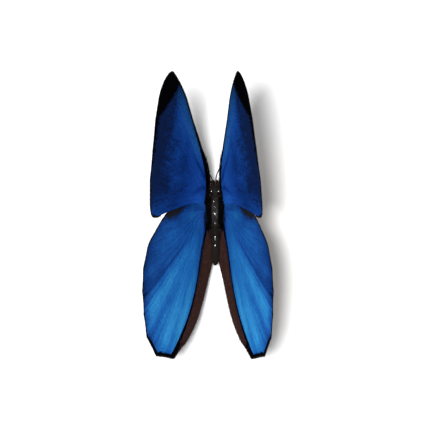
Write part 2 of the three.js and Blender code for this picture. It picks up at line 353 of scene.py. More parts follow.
def wingFlatMesh(wing):
    # triangles over the flat wing, with rows of points along the edge and along each vein
    edge, _, normals = wingOutline(wing, membrane["inset"])
    rows = [edge + inset * normals for inset in membrane["edgeRows"]]
    for vein in wing["veins"].values():
        line, _, _ = smoothCurve(vein, False, membrane["veinSpacing"])
        run = np.gradient(line, axis=0)
        across = np.stack([-run[:, 1], run[:, 0]], 1) / np.linalg.norm(run, axis=1)[:, None]
        rows += [line + offset * across for offset in membrane["veinRows"]]
    low, high = edge.min(0), edge.max(0)
    fill, rowRise = membrane["fill"], 0.87    # rows of a triangular grid
    grid = np.array([(low[0] + fill * (i + 0.5 * (j % 2)), low[1] + rowRise * fill * j)
                     for j in range(int((high[1] - low[1]) / fill / rowRise) + 1)
                     for i in range(int((high[0] - low[0]) / fill) + 1)])
    rowGap, gridGap = membrane["closest"]
    kept = thinned([(row, rowGap) for row in rows] + [(grid, gridGap)], edge + 0.1 * normals)
    places = [Vector(p) for p in edge] + [Vector(p) for p in kept]
    rim = [(i, (i + 1) % len(edge)) for i in range(len(edge))]
    made, _, triangles, _, _, _ = geometry.delaunay_2d_cdt(places, rim, [], 1, 1e-5)
    return np.array([tuple(p) for p in made]), np.array(triangles)


def wingSurface(wing, places):
    # how the wing's two faces stand out of its plane at each place, and the gaps to the veins and the edge
    out, along = places[:, 0], places[:, 1]
    rays = wingOutline(wing)[0] - wing["middle"]
    rayAngles = np.arctan2(rays[:, 1], rays[:, 0])
    order = np.argsort(rayAngles)
    spokes = places - wing["middle"]
    limits = np.interp(np.arctan2(spokes[:, 1], spokes[:, 0]), rayAngles[order],
                       np.linalg.norm(rays, axis=1)[order], period=2 * np.pi)
    reach = np.minimum(np.linalg.norm(spokes, axis=1) / limits, 1)
    veinGaps = [gapTo(places, smoothCurve(vein, False, 1.0)[0]) for vein in wing["veins"].values()]
    veinGap = np.min(veinGaps, axis=0)
    edge = wingOutline(wing, membrane["inset"])[0]
    edgeGap = gapTo(places, np.vstack([edge, edge[:1]])) * insideOf(places, edge)
    ridgeTall = np.interp(np.hypot(out, along - wing["outline"][0][1]), [0, 60], membrane["ridge"])
    ridge = ridgeTall * bell(veinGap, 0, membrane["ridgeWidth"]) * smoothStep(edgeGap, 0, 0.8)
    vault = membrane["vault"] * (1 - bell(veinGap, 0, 2.2)) * smoothStep(edgeGap, 0, 3)
    step = hindwingStep(out, along) if wing is hindwing else 0
    stand = -wing["bulge"] * (1 - reach ** 2) + step - vault
    half = membrane["halfThickness"] * (0.4 + 0.6 * smoothStep(edgeGap, 0, 0.5))
    return stand - half - ridge, stand + half + 0.8 * ridge, veinGap, edgeGap


def wingUnwrap(wing, places, under):
    # the bake map lays the two faces of the wing one above the other, in its own plane
    low, high = np.min(wing["outline"], 0) - 1, np.max(wing["outline"], 0) + 1
    width, height = high - low
    return (places - low) * min(0.97 / width, 0.48 / height) + 0.01 + (0, 0.5 * under)


def buildWing(wing, side, upper, under):
    places, triangles = wingFlatMesh(wing)
    out, along = places[:, 0], places[:, 1]
    inner, outer, veinGap, edgeGap = wingSurface(wing, places)
    count = len(places)
    points = np.vstack([wingToSpace(wing, out, along, stand) for stand in (inner, outer)])
    # the upper side faces the body; its triangles are turned to face that way
    corners = places[triangles]
    turned = np.cross(corners[:, 1] - corners[:, 0], corners[:, 2] - corners[:, 0]) < 0
    triangles[turned] = triangles[turned][:, ::-1]
    pairs = np.vstack([triangles[:, [0, 1]], triangles[:, [1, 2]], triangles[:, [2, 0]]])
    known = {(a, b) for a, b in pairs.tolist()}
    rim = [(a, b) for a, b in known if (b, a) not in known]
    faces = triangles[:, ::-1].tolist() + (triangles + count).tolist()
    faces += [(a, b, b + count, a + count) for a, b in rim]
    slots = [0] * len(triangles) + [1] * (len(triangles) + len(rim))
    if side == "left":
        points = points * (-1, 1, 1)
        faces = [f[::-1] for f in faces]
    piece = makePiece(f"{wing['name']}_scaled_{side}", points, faces, [upper, under], slots)
    marks = (forewingMarks if wing is forewing else hindwingMarks)(places, rootBlack[side])
    plan = np.column_stack([places, np.zeros(count)])
    for name, values in dict(marks, plan=plan, veinGap=veinGap, edgeGap=edgeGap).items():
        addField(piece.data, name, np.concatenate([values, values]))
    unwrapped = np.vstack([wingUnwrap(wing, places, under) for under in (False, True)])

    def cornerPlaces(corners):
        # the cut edge belongs to the under side
        corners[-4 * len(rim):] = corners[-4 * len(rim):] % count + count
        return unwrapped[corners]

    addBakeMap(piece.data, cornerPlaces)
    return piece


def stretchGap(wing, places, stretch):
    curve, spans, _ = wingOutline(wing)
    first, last = wing[stretch]
    return gapTo(places, curve[(spans >= first) & (spans <= last)])


# how far black spreads over the roots of each pair; they differ a little, as on most real insects
rootBlack = {"left": 1.0, "right": 0.45}


def clouds(wing, out, along):
    places = wing["clouds"]
    return sum(gain * bell(out, a, wide) * bell(along, b, long) for a, wide, b, long, gain in places)


def forewingMarks(places, spread):
    out, along = places[:, 0], places[:, 1]
    front, outer, rear = [stretchGap(forewing, places, stretch) for stretch in ("front", "outer", "rear")]
    # black is counted in widths of its own soft edge: above 1 all black, below -1 none
    costa = (1.15 + 4.6 * spread * np.exp(-out / 13) - 0.004 * out - front) / 0.45
    tip = ((out - 53.8) * 0.683 + (along - 32.6) * 0.731) / 1.1    # beyond a slanting line across the corner
    dusty = smoothStep(along, -3, 12)
    border = (0.7 + 1.6 * smoothStep(along, 8, 26) + 0.7 * dusty - outer) / (0.5 + 1.2 * dusty)
    root = (1.7 - 3.6 * (1 - spread) + 0.62 * (along - 2) - out) / 0.8
    black = np.maximum.reduce([costa, tip, border, root])
    # painted sheen: the blue's brightness is set by place, partly the wing's own pattern and partly standing
    # in for the blue that the scales send back at some angles
    # the blue dims outwards, and is dusted with black scales along the outer margin
    shine = 0.6 - 0.0072 * out - 0.06 * smoothStep(out, 52, 58) + clouds(forewing, out, along)
    shine -= 0.12 * smoothStep(-outer, -9, -3) * dusty + 0.08 * bell(out, 36, 8) * smoothStep(front, 9, 13)
    # it is brighter along the rear edge and in a strip behind the front margin
    nearRoot = 1 - smoothStep(out, 17, 26)
    shine += 0.1 * bell(along, -0.6, 1.5) * nearRoot * (0.3 + 0.7 * smoothStep(out, 1, 8))
    shine += 0.04 * np.exp(-rear / 1.6) * (1 - smoothStep(out, 6, 22))
    shine += 0.15 * np.exp(-rear / 2.6) * smoothStep(out, 30, 46)
    shine += 0.2 * bell(front, 4.2, 2.6) * between(out, 10, 24, 44, 58)
    shine += 0.13 * bell(front, 8.6, 3.4) * between(out, 34, 42, 47, 57)
    # painted shade along two creases that run out from the root
    upper, lower = [gapTo(places, smoothCurve(crease, False, 1)[0]) for crease in forewing["creases"]]
    shine -= 0.34 * bell(upper, 0, 0.7) * between(out, 2, 8, 18, 32)
    shine -= 0.24 * bell(lower, 0, 0.7) * (1 - smoothStep(out, 12, 24))
    angle = np.arctan2(along, out + 4)
    ray = np.stack([angle * 30, np.hypot(along, out + 4), 0 * out], 1)
    return {"ray": ray, "black": black, "shine": shine, "brown": 0 * out - 9,
            "paler": bell(front, 2, 3.6) * smoothStep(out, 14, 24)}


def hindwingMarks(places, spread):
    out, along = places[:, 0], places[:, 1]
    outer = stretchGap(hindwing, places, "outer")
    inner = divideLine(along) - out    # inside the brown inner field
    rearward = smoothStep(-along, 30, 50)
    divide = (0.65 + 0.55 * rearward - np.abs(inner + 0.5 + 0.35 * rearward)) / 0.3
    border = (0.6 + 0.9 * smoothStep(-along, 40, 50) - outer) / 0.4
    root = (-2.9 - 1.8 * (1 - spread) + 0.22 * (along + 4) - out) / 0.5
    innerRoot = np.minimum((inner + 1.1) / 0.4, (along + 10.5) / 1.5)
    black = np.maximum.reduce([divide, border, root, innerRoot])
    patch = along - np.interp(out, *zip(*hindwing["costalPatch"]))
    brown = np.maximum(inner / 0.4, (patch - 0.6) / 1.3)
    # from the root a duller front part and a bright fan of rays, partly the wing's own pattern and partly
    # painted sheen, and painted shade right at the root
    angle = np.degrees(np.arctan2(-(along + 4), out + 0.5))
    radius = np.hypot(along + 4, out + 0.5)
    fan = smoothStep(angle, 30, 37.5)
    shine = (0.67 - 0.09 * smoothStep(radius, 9, 20) - 0.1 * smoothStep(radius, 30, 46)) * (1 - fan)
    shine += (0.65 + 0.0048 * np.minimum(radius, 38)) * fan - 0.15 * bell(radius, 0, 5)
    for middle, width, gain, start, full in hindwing["rays"]:
        shine += gain * bell(angle, middle, width) * smoothStep(radius, start, full)
    shine += clouds(hindwing, out, along)
    # it is darker beside the patch and has a painted shadow along the overlying forewing's rear edge, with a
    # paler strip behind that
    shine -= 0.22 * np.exp(-np.maximum(0.4 - patch, 0) / 1.3) * smoothStep(out, 14, 26)
    shine += 0.09 * bell(along, -5.5, 2.6) * between(out, 2, 7, 14, 24)
    shine -= 0.22 * bell(along, -3.2, 1.1) * between(out, -2, 4, 20, 28)
    # and it darkens towards the dividing line and the margin
    shine -= 0.45 * np.exp(-np.maximum(-inner - 0.4, 0) / 1.1)
    shine -= 0.52 * np.exp(-outer / 2.3) * (1 - 0.5 * smoothStep(along, -24, -14))
    ray = np.stack([np.radians(angle) * 30, radius, 0 * out], 1)
    return {"ray": ray, "black": black, "shine": shine, "brown": brown, "paler": 0 * out}


blueScales = {
    "ramp": [(0, "#08132e"), (0.08, "#092150"), (0.12, "#0b2a5c"), (0.2, "#0d306a"),
             (0.34, "#133973"), (0.43, "#184382"), (0.55, "#1c5296"), (0.62, "#1d5b9f"),
             (0.75, "#236eae"), (0.88, "#3083b9"), (1, "#3a95c7")],
    "gain": {"forewing": 2.4, "hindwing": 1.3},   # painted sheen: brightens the colour in place of the blue the scales send back
    "streak": {"forewing": 0.2, "hindwing": 0.42},
    "mottle": {"forewing": 0.12, "hindwing": 0.22},
    "costalTint": (1.0, 1.0, 0.72, 1.0),          # less violet along the front margin
    "black": "#050507",
    "brown": "#3d2825",
    "costalBrown": "#262628",
}
scaleSize = (0.2, 0.3)    # a wing scale is about 0.1 wide and 0.2 long, and is drawn coarser to show


def scaleNodes(tree):
    # places in the wing's own plane and along its rays, and rows of scales that lie outwards from the root
    plan, ray = [addNode(tree, "Attribute", attribute_name=field).outputs["Vector"]
                 for field in ("plan", "ray")]
    rows = addNode(tree, "Mapping", {"Vector": ray, "Scale": (1 / scaleSize[0], 1 / scaleSize[1], 1)})
    cells = addNode(tree, "TexVoronoi", {"Vector": rows, "Scale": 1.0, "Randomness": 0.55})
    chance = addNode(tree, "SeparateColor", {"Color": cells.outputs["Color"]})
    return plan, ray, cells.outputs["Distance"], chance.outputs


def upperWingMaterial(wingName):
    # morpho wing scales: clear ridged chitin over black pigment, that sends back a satin metallic blue; here
    # that sheen is painted into the colour, with no specular gloss
    material, tree, shader = newMaterial(f"{wingName}BlueScales")
    plan, ray, dome, chance = scaleNodes(tree)
    brown, black, shine, veinGap, paler = [addNode(tree, "Attribute", attribute_name=field).outputs["Fac"]
                                           for field in ("brown", "black", "shine", "veinGap", "paler")]
    # black and brown end scale by scale, on a ragged line
    patchy = addNode(tree, "TexNoise", {"Vector": plan, "Scale": 0.35, "Detail": 3})
    masks = []
    for field in (brown, black):
        fine = addNode(tree, "Math", (chance[0], 1.3, -0.65), operation="MULTIPLY_ADD")
        coarse = addNode(tree, "Math", (patchy, 2.0, field), operation="MULTIPLY_ADD")
        both = addNode(tree, "Math", (fine, coarse), operation="ADD")
        masks.append(addNode(tree, "MapRange", {"Value": both, "From Min": 0.82, "From Max": 1.18},
                             interpolation_type="SMOOTHSTEP"))
    # how bright the blue is: the painted sheen and shade of the shine field, streaks along the rays, clouds,
    # each scale by chance, and darker veins
    streaks = addNode(tree, "Mapping", {"Vector": ray, "Scale": (1.1, 0.05, 1)})
    streak = addNode(tree, "TexNoise", {"Vector": streaks, "Scale": 1.0, "Detail": 4, "Roughness": 0.6})
    mottle = addNode(tree, "TexNoise", {"Vector": plan, "Scale": 0.14, "Detail": 3})
    for pattern, strength in ((streak, blueScales["streak"][wingName]),
                              (mottle, blueScales["mottle"][wingName]),
                              (chance[1], 0.2)):
        shine = addNode(tree, "Math", (pattern, strength, shine), operation="MULTIPLY_ADD")
    veinDark = addNode(tree, "MapRange", {"Value": veinGap, "From Min": 0.05, "From Max": 0.4,
                                          "To Min": 0.47, "To Max": 0.42}, interpolation_type="SMOOTHSTEP")
    level = addNode(tree, "Math", (shine, veinDark), operation="SUBTRACT")
    ramp = setStops(addNode(tree, "ValToRGB", {"Fac": level}), blueScales["ramp"])
    tinted = addNode(tree, "Mix", {0: paler, 6: ramp, 7: blueScales["costalTint"]},
                     data_type="RGBA", blend_type="MULTIPLY").outputs[2]
    gain = blueScales["gain"][wingName]
    colour = addNode(tree, "VectorMath", {0: tinted, "Scale": gain}, operation="SCALE")
    ahead = addNode(tree, "SeparateXYZ", {"Vector": plan}).outputs["Y"]
    costal = addNode(tree, "MapRange", {"Value": ahead, "From Min": -9.5, "From Max": -12})
    browns = addNode(tree, "Mix", {0: costal, 6: linear(blueScales["costalBrown"]),
                                   7: linear(blueScales["brown"])}, data_type="RGBA")
    for mask, pigment in zip(masks, (browns.outputs[2], linear(blueScales["black"]))):
        colour = addNode(tree, "Mix", {0: mask, 6: colour, 7: pigment}, data_type="RGBA").outputs[2]
    dull = addNode(tree, "Math", masks, operation="MAXIMUM")
    rough = addNode(tree, "Math", (dull, 0.25, 0.5), operation="MULTIPLY_ADD")
    bump = addNode(tree, "Bump", {"Strength": 0.25, "Distance": 0.00006, "Height": dome})
    setInputs(tree, shader, {"Base Color": colour, "Roughness": rough, "Specular IOR Level": 0.0,
                             "Normal": bump})
    return material


underScales = {
    "ground": [(0.3, "#3b2a1e"), (0.5, "#5d4630"), (0.7, "#7a6040")],
    # bands across the wing: distance from the root as a share of their reach, and colour
    "bandReach": 80,
    "bands": [(0.0, "#2a1c14"), (0.12, "#3f2c1f"), (0.2, "#9c8460"), (0.235, "#4b3626"), (0.36, "#5b442f"),
              (0.46, "#b09a72"), (0.5, "#6b5238"), (0.58, "#35251b"), (0.66, "#5a4531"), (0.9, "#6d563c")],
    # lines along the margin: distance from the edge as a share of their reach
    "marginReach": 6,
    "margin": [(0.0, "#241811"), (0.09, "#241811"), (0.12, "#9a5a35"), (0.2, "#8b4f30"), (0.24, "#33231a"),
               (0.36, "#3b2a1f"), (0.4, "#b7a480"), (0.46, "#a8946f"), (0.52, "#4a3626"), (1.0, "#4a3626")],
    # from the middle of an eyespot to its rim
    "eyespot": [(0.0, "#dfe8f2"), (0.12, "#8fa9c4"), (0.18, "#0b0908"), (0.5, "#0b0908"), (0.55, "#b98a35"),
                (0.72, "#c79a45"), (0.77, "#20150e"), (0.9, "#2c1e14"), (0.93, "#bba680"), (1.0, "#a8946f")],
    # middle of each eyespot, and its radius
    "eyespots": {"forewing": [(60, 24, 1.5), (57.2, 17, 2.9), (54.6, 10.6, 3.2), (49.6, -0.6, 3.6)],
                 "hindwing": [(33.5, -12.6, 4.6), (37, -31.6, 3.6), (29.6, -39.6, 3.3), (20.6, -44.6, 2.9)]},
}


def underWingMaterial(wingName):
    # pigmented wing scales: matt brown, cream and ochre, each scale one colour, in bands and eyespots
    material, tree, shader = newMaterial(f"{wingName}BrownScales")
    plan, _, dome, chance = scaleNodes(tree)
    edgeGap, veinGap = [addNode(tree, "Attribute", attribute_name=field).outputs["Fac"]
                        for field in ("edgeGap", "veinGap")]
    wander = addNode(tree, "TexNoise", {"Vector": plan, "Scale": 0.16, "Detail": 3})
    fleck = addNode(tree, "TexNoise", {"Vector": plan, "Scale": 1.1, "Detail": 3})
    ground = setStops(addNode(tree, "ValToRGB", {"Fac": fleck}), underScales["ground"])
    # wavy bands across the wing
    fromRoot = addNode(tree, "VectorMath", [plan], operation="LENGTH").outputs["Value"]
    band = addNode(tree, "Math", (fromRoot, 1 / underScales["bandReach"], -0.11), operation="MULTIPLY_ADD")
    band = addNode(tree, "Math", (wander, 0.22, band), operation="MULTIPLY_ADD")
    bands = setStops(addNode(tree, "ValToRGB", {"Fac": band}), underScales["bands"])
    colour = addNode(tree, "Mix", {0: 0.62, 6: ground, 7: bands}, data_type="RGBA").outputs[2]
    # lines along the margin
    rim = addNode(tree, "Math", (edgeGap, 1 / underScales["marginReach"], -0.06), operation="MULTIPLY_ADD")
    rim = addNode(tree, "Math", (wander, 0.12, rim), operation="MULTIPLY_ADD")
    margin = setStops(addNode(tree, "ValToRGB", {"Fac": rim}), underScales["margin"])
    nearRim, beyond = [addNode(tree, "MapRange", {"Value": value, "From Min": low, "From Max": high},
                               interpolation_type="SMOOTHSTEP")
                       for value, low, high in ((rim, 0.62, 0.5), (fromRoot, 20, 34))]
    nearRim = addNode(tree, "Math", (nearRim, beyond), operation="MULTIPLY")
    colour = addNode(tree, "Mix", {0: nearRim, 6: colour, 7: margin}, data_type="RGBA").outputs[2]
    # eyespots
    nearest = None
    for out, along, radius in underScales["eyespots"][wingName]:
        away = addNode(tree, "VectorMath", (plan, (out, along, 0)), operation="DISTANCE").outputs["Value"]
        ring = addNode(tree, "Math", (away, radius), operation="DIVIDE")
        nearest = addNode(tree, "Math", (nearest, ring), operation="MINIMUM") if nearest else ring
    ragged = addNode(tree, "Math", (chance[2], 0.07, nearest), operation="MULTIPLY_ADD")
    spots = setStops(addNode(tree, "ValToRGB", {"Fac": ragged}), underScales["eyespot"])
    inSpot = addNode(tree, "MapRange", {"Value": ragged, "From Min": 1.05, "From Max": 1.0},
                     interpolation_type="SMOOTHSTEP")
    colour = addNode(tree, "Mix", {0: inSpot, 6: colour, 7: spots}, data_type="RGBA").outputs[2]
    # darker veins, and each scale a little lighter or darker
    vein = addNode(tree, "MapRange", {"Value": veinGap, "From Min": 0.1, "From Max": 0.45, "To Min": 0.5,
                                      "To Max": 1.0}, interpolation_type="SMOOTHSTEP")
    each = addNode(tree, "MapRange", {"Value": chance[0], "To Min": 0.78, "To Max": 1.18})
    tone = addNode(tree, "Math", (vein, each), operation="MULTIPLY")
    shaded = addNode(tree, "VectorMath", {0: colour, "Scale": tone}, operation="SCALE")
    bump = addNode(tree, "Bump", {"Strength": 0.3, "Distance": 0.00006, "Height": dome})
    setInputs(tree, shader, {"Base Color": shaded, "Roughness": 0.7, "Specular IOR Level": 0.15,
                             "Normal": bump})
    return material


for wing in (forewing, hindwing):
    upper = upperWingMaterial(wing["name"])
    under = underWingMaterial(wing["name"])
    for side in ("right", "left"):
        piece = buildWing(wing, side, upper, under)
        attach(piece, "root")
        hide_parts(f"{wing['name']}_{side}")
        print("wing", piece.name, len(piece.data.polygons), "faces")


# body: one skin over head, palps, thorax and abdomen, and the coat that stands on it

def lathe(profile, centre, flattening=(1, 1), droop=0.0, sides=40, spacing=0.2, ring=None):
    # turned about +Y from (radius, place) pairs; "ring" scales the radius by place
    outline, _, _ = smoothCurve(profile, False, spacing)
    radii, places = np.maximum(outline[:, 0], 0), outline[:, 1]
    if ring:
        radii = radii * ring(places)
    angles = np.linspace(0, 2 * np.pi, sides, endpoint=False)
    x = radii[:, None] * np.cos(angles) * flattening[0]
    z = radii[:, None] * np.sin(angles) * flattening[1]
    y = np.repeat(places[:, None], sides, 1)
    cos, sin = math.cos(math.radians(droop)), math.sin(math.radians(droop))
    points = np.stack([x, y * cos - z * sin, y * sin + z * cos], -1).reshape(-1, 3) + centre
    return points, gridFaces(len(places), sides)


def gridFaces(rows, sides):
    faces = []
    for row in range(rows - 1):
        for side in range(sides):
            a, b = row * sides + side, row * sides + (side + 1) % sides
            faces.append((a, b, b + sides, a + sides))
    faces.append(tuple(reversed(range(sides))))
    faces.append(tuple(range((rows - 1) * sides, rows * sides)))
    return faces


def ellipsoid(centre, radii, rows=20, sides=28):
    angles = np.linspace(0.02, np.pi - 0.02, rows)
    around = np.linspace(0, 2 * np.pi, sides, endpoint=False)
    x = np.sin(angles)[:, None] * np.cos(around) * radii[0]
    z = np.sin(angles)[:, None] * np.sin(around) * radii[2]
    y = np.repeat(-np.cos(angles)[:, None] * radii[1], sides, 1)
    return np.stack([x, y, z], -1).reshape(-1, 3) + centre, gridFaces(rows, sides)


def tube(route, radiusAt, sides=12, spacing=0.2):
    # a round limb along a smooth route; also gives how far along the limb each point lies, from 0 to 1
    line, _, _ = smoothCurve(route, False, spacing)
    run = np.gradient(line, axis=0)
    run /= np.linalg.norm(run, axis=1)[:, None]
    far = np.concatenate([[0], np.cumsum(np.linalg.norm(np.diff(line, axis=0), axis=1))])
    part = far / far[-1]
    across = np.cross(run[0], (0.3, 0.2, 1))
    frames = []
    for tangent in run:
        across = across - tangent * (across @ tangent)
        across /= np.linalg.norm(across)
        frames.append((across, np.cross(tangent, across)))
    frames = np.array(frames)
    radii = np.array([radiusAt(p) for p in part])
    angles = np.linspace(0, 2 * np.pi, sides, endpoint=False)
    ringX = np.cos(angles)[None, :, None] * frames[:, None, 0]
    ringY = np.sin(angles)[None, :, None] * frames[:, None, 1]
    points = line[:, None] + radii[:, None, None] * (ringX + ringY)
    return points.reshape(-1, 3), gridFaces(len(line), sides), np.repeat(part, sides)


def joinShapes(shapes):
    # several closed shapes in one mesh; each shape is its points, its faces, and for a limb its parts
    points, faces, start = [], [], 0
    for shape in shapes:
        points.append(np.asarray(shape[0]))
        faces += [tuple(i + start for i in face) for face in shape[1]]
        start += len(shape[0])
    return np.vstack(points), faces


def mirrored(shape):
    points, faces = shape[0] * (-1, 1, 1), [face[::-1] for face in shape[1]]
    return (points, faces) + tuple(shape[2:])


body = {
    "voxel": 0.1, "smoothing": 3,
    "thorax": [(0, 6.6), (1.0, 6.3), (1.8, 5.1), (2.26, 3.3), (2.36, 1.2), (2.0, -1.3), (1.35, -3.0),
               (0.7, -3.8), (0, -4.0)],
    "thoraxHeight": 8.7, "thoraxFlattening": (1, 1.12),
    "abdomen": [(0, -0.05), (0.72, -0.25), (1.02, -1.6), (1.21, -4.6), (1.25, -8), (1.03, -10.4),
                (0.55, -11.6), (0, -11.95)],
    "abdomenStart": (0, -4.3, 8.9), "abdomenDroop": 4.5,
    "segment": 1.42, "segmentDepth": 0.075,    # rings of the abdomen
    "head": [(0, 1.7), (0.75, 1.45), (1.25, 0.65), (1.35, -0.2), (1.05, -1.1), (0.5, -1.5), (0, -1.6)],
    "headCentre": (0, 8.8, 8.4),
    "palp": [(0.6, 9.7, 7.6), (0.7, 10.7, 6.9), (0.76, 11.5, 7.5), (0.72, 11.75, 8.7), (0.62, 11.6, 9.75)],
    "palpRadius": 0.27,
    # centre and radii of each swelling, the paired ones given for the right side
    "pairedSwellings": [
        ((0.62, 1.8, 10.85), (0.8, 3.1, 0.7)),      # halves of the back plate
        ((2.0, 4.9, 10.1), (0.5, 1.2, 0.75)),       # cap over the forewing's root
        ((2.25, 3.4, 9.8), (0.5, 2.2, 0.9)),        # wing sockets
        ((0.75, 6.0, 9.75), (0.75, 0.5, 0.6)),      # collar
        ((1.5, 1.5, 7.9), (1.0, 3.0, 1.4)),         # flanks
        ((1.0, 2.9, 6.8), (0.58, 0.75, 0.95)),      # hips
        ((0.95, -1.0, 6.9), (0.58, 0.75, 0.95)),
        ((0.85, 4.8, 6.9), (0.42, 0.5, 0.75)),
        ((0.42, 9.45, 9.35), (0.32, 0.32, 0.3)),    # antenna sockets
        ((0.2, -15.78, 7.98), (0.28, 0.45, 0.34)),  # claspers
    ],
    "middleSwellings": [
        ((0, -2.2, 10.25), (0.9, 0.9, 0.6)),        # small plate behind the back plate
        ((0.05, 0.9, 11.22), (0.66, 1.1, 0.42)),    # polished knobs along the back
        ((0.12, 3.0, 11.38), (0.36, 0.5, 0.26)),
        ((-0.35, 5.0, 10.72), (0.42, 0.5, 0.32)),
        ((0, 9.75, 8.5), (0.75, 0.65, 0.85)),       # face
        ((0, 9.75, 7.35), (0.5, 0.45, 0.5)),        # mouth
        ((0, 7.1, 8.5), (0.85, 0.9, 0.85)),         # neck
        ((0, -4.4, 8.9), (0.8, 1.0, 0.8)),          # waist
    ],
}


def ringed(places):
    # the abdomen narrows at the front of each of its rings
    part = (-places / body["segment"]) % 1
    return 1 - body["segmentDepth"] * (1 - smoothStep(part, 0, 0.22)) + 0.03 * part


def palpRadius(part):
    return body["palpRadius"] * (0.75 + 0.4 * math.sin(math.pi * min(part * 1.15, 1)))


def buildSkin(material):
    palp = tube(body["palp"], palpRadius, 14)
    shapes = [
        lathe(body["thorax"], (0, 0, body["thoraxHeight"]), body["thoraxFlattening"]),
        lathe(body["abdomen"], body["abdomenStart"], droop=body["abdomenDroop"], spacing=0.08, ring=ringed),
        lathe(body["head"], body["headCentre"]),
        palp, mirrored(palp),
    ]
    for centre, radii in body["pairedSwellings"]:
        shapes += [ellipsoid(centre, radii), mirrored(ellipsoid(centre, radii))]
    shapes += [ellipsoid(centre, radii) for centre, radii in body["middleSwellings"]]
    points, faces = joinShapes(shapes)
    # fused at a thousand times its size, because the remesh has a smallest voxel
    rough = makePiece("bodyRough", (points + (0, bodyShift, 0)) / mm, faces, [])
    remesh = rough.modifiers.new("fuse", "REMESH")
    remesh.mode = "VOXEL"
    remesh.voxel_size = body["voxel"]
    smoothing = rough.modifiers.new("smooth", "SMOOTH")
    smoothing.factor = 0.6
    smoothing.iterations = body["smoothing"]
    done = rough.evaluated_get(bpy.context.evaluated_depsgraph_get()).to_mesh()
    fused = pointValues(done, "co")
    faces = [tuple(p.vertices) for p in done.polygons]
    rough.to_mesh_clear()
    bpy.data.objects.remove(rough)
    piece = makePiece("body_skin", fused, faces, [material])
    addField(piece.data, "place", fused)
    return piece


random = np.random.default_rng(7)
patchRadius = 0.0015    # of a tuft's place on the bake map


def scatterOn(piece, count, density):
    # random places on a piece, more of them where density(places, normals) is higher
    mesh = piece.data
    mesh.calc_loop_triangles()
    points = pointValues(mesh, "co") / mm
    normals = pointValues(mesh, "normal")
    triangles = np.empty(len(mesh.loop_triangles) * 3, np.int32)
    mesh.loop_triangles.foreach_get("vertices", triangles)
    triangles = triangles.reshape(-1, 3)
    corners = points[triangles]
    areas = np.linalg.norm(np.cross(corners[:, 1] - corners[:, 0], corners[:, 2] - corners[:, 0]), axis=1)
    weights = areas * density(corners.mean(1), normals[triangles].mean(1))
    picked = random.choice(len(triangles), count, p=weights / weights.sum())
    shares = random.dirichlet((1, 1, 1), count)[:, :, None]
    places = (corners[picked] * shares).sum(1)
    facing = (normals[triangles[picked]] * shares).sum(1)
    return places, facing / np.linalg.norm(facing, axis=1)[:, None]


def tuftPiece(name, roots, normals, lie, look, unwrapped, material):
    # solid tufts, each a three-sided blade with one ring part way up, bent over along the lie of the coat
    count = len(roots)
    lie = lie - (lie * normals).sum(1)[:, None] * normals
    lie /= np.maximum(np.linalg.norm(lie, axis=1), 1e-6)[:, None]
    turn = np.radians(random.normal(0, look["stray"], count))[:, None]
    aside = np.cross(normals, lie)
    lie = lie * np.cos(turn) + aside * np.sin(turn)
    aside = np.cross(normals, lie)
    lift = np.radians(look["lift"] * random.uniform(0.6, 1.4, count))[:, None]
    length = (look["length"] * random.uniform(0.65, 1.2, count))[:, None]
    if "scale" in look:
        length = length * look["scale"][:, None]
    reachOut = lie * np.cos(lift) + normals * np.sin(lift)
    up = np.cross(reachOut, aside)
    width = look["width"] * random.uniform(0.8, 1.2, count)[:, None]
    flat = look.get("flat", 1)
    ringPlace, ringWidth = look.get("ring", (0.5, 0.75))
    levels = []
    for along, wide in ((-0.06, 1), (ringPlace, ringWidth)):
        middle = roots + reachOut * length * along
        for corner in range(3):
            angle = 2 * math.pi * corner / 3 + math.pi / 2
            levels.append(middle + width * wide * (math.cos(angle) * aside + flat * math.sin(angle) * up))
    bend = np.radians(look.get("bend", 12))
    tip = roots + reachOut * length * math.cos(bend) - normals * length * math.sin(bend) * np.sin(lift)
    points = np.stack(levels + [tip], 1).reshape(-1, 3)
    blade = [(2, 1, 0), (0, 1, 4, 3), (1, 2, 5, 4), (2, 0, 3, 5), (3, 4, 6), (4, 5, 6), (5, 3, 6)]
    faces = [tuple(7 * i + corner for corner in face) for i in range(count) for face in blade]
    piece = makePiece(name, points, faces, [material])
    addField(piece.data, "place", np.repeat(roots, 7, 0))
    addField(piece.data, "tip", np.tile([0, 0, 0, ringPlace, ringPlace, ringPlace, 1], count))
    # each tuft has a small patch of the bake map, at its root's place
    patch = np.array([(0, 1), (-0.87, -0.5), (0.87, -0.5), (0, 0.6), (-0.5, -0.3), (0.5, -0.3), (0, 0)])
    patches = (unwrapped[:, None] + patchRadius * patch).reshape(-1, 2)
    addBakeMap(piece.data, lambda corners: patches[corners])
    return piece


def bodyUnwrap(places):
    # round the body and along it
    length, behind = 30, 17    # of the whole body, and of what lies behind its middle
    around = np.arctan2(places[:, 0], places[:, 2] - body["thoraxHeight"]) / (2 * np.pi) + 0.5
    along = (places[:, 1] - bodyShift + behind) / length
    return np.stack([around, along], 1) * 0.98 + 0.01


# materials of the body

bodyColours = {
    "back": "#26221f", "flank": "#060505", "under": "#3c2f25", "abdomen": "#201c19",
    "hairTip": 1.5,    # how much paler the tips of the hairs are than their roots
}


